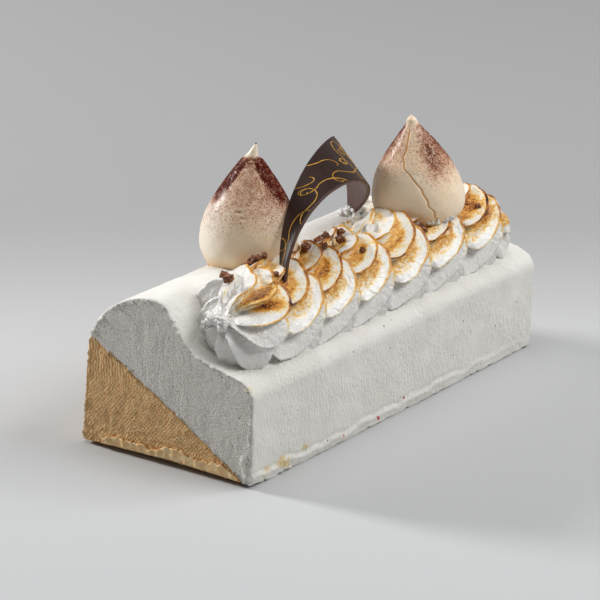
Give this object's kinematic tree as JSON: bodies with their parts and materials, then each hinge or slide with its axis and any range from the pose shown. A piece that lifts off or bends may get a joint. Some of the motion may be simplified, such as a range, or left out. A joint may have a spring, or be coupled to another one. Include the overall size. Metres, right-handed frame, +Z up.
{
  "type": "yule log cake slice",
  "caption": "Cut length of ice cream yule log with a coffee wedge, toasted piped cream, two meringue kisses and a curled chocolate blade.",
  "frame": {"origin": "middle of the base", "axes": "+X along the log away from the cut face shown, +Y towards the hump, +Z up"},
  "size_m": [0.187, 0.08, 0.107],
  "materials": {
    "vanilla_ice": "matte frozen ice cream",
    "coffee_ice": "matte, open frozen grain",
    "toasted_cream": "satin cream, browned on top",
    "meringue": "dry baked, dusted with cocoa",
    "dark_chocolate": "tempered gloss with gold transfer"
  },
  "bodies": {
    "root": {"vanilla_ice": "vanilla_ice", "coffee_ice": "coffee_ice", "cream_piping": "toasted_cream", "meringue_kiss_near": "meringue", "meringue_kiss_far": "meringue", "chocolate_arch": "dark_chocolate"}
  },
  "joints": []
}
